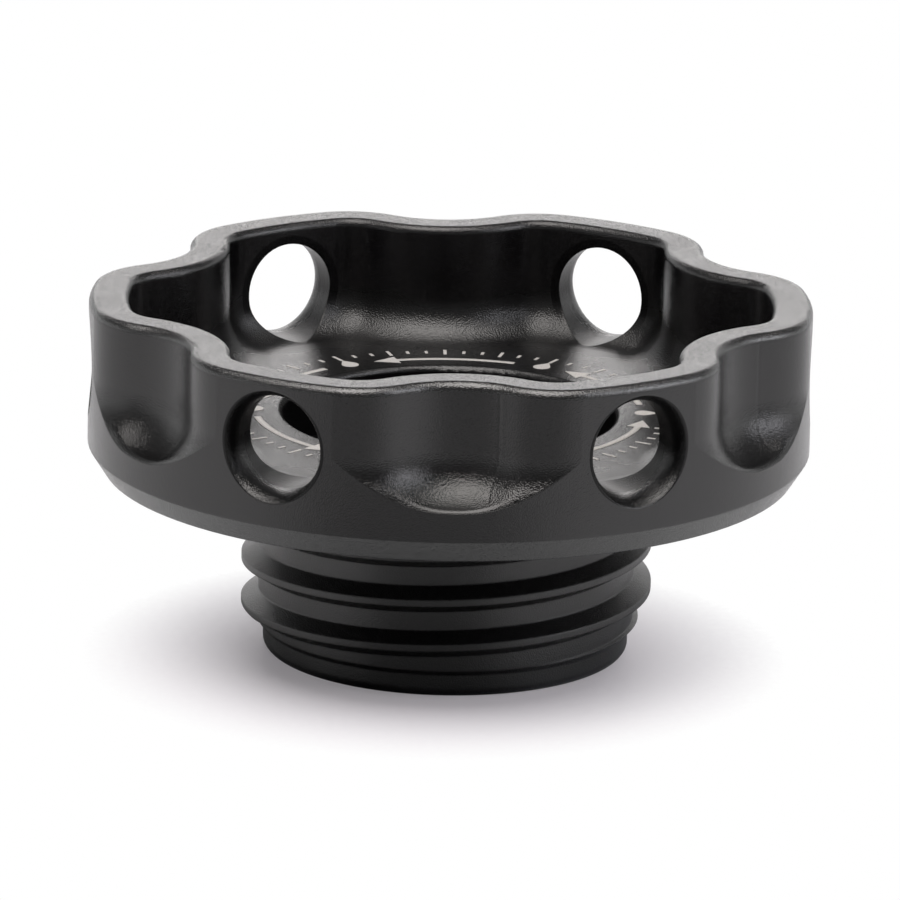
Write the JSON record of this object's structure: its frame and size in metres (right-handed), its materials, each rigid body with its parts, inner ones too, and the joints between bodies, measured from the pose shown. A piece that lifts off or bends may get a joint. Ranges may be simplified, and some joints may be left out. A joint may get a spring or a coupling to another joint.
{
  "type": "oil filler cap",
  "caption": "Screw-in oil filler cap with a coarse threaded plug, a sealing ring under its flange, and a scalloped, pierced cup grip with a hexagon drive socket.",
  "frame": {"origin": "centre of the flat face under the plug, the lowest point of the cap when it stands on its plug", "axes": "+Z along the screw axis, from the plug up to the rim of the grip; +X through the middle of one lobe; a scallop faces -Y, towards the picture's camera"},
  "size_m": [0.0624, 0.0624, 0.0312],
  "materials": {
    "black_anodised": "bead-blasted, satin black anodised",
    "seal_rubber": "matt black nitrile rubber"
  },
  "bodies": {
    "root": {"cap_body": "black_anodised", "seal_ring": "seal_rubber"}
  },
  "joints": []
}
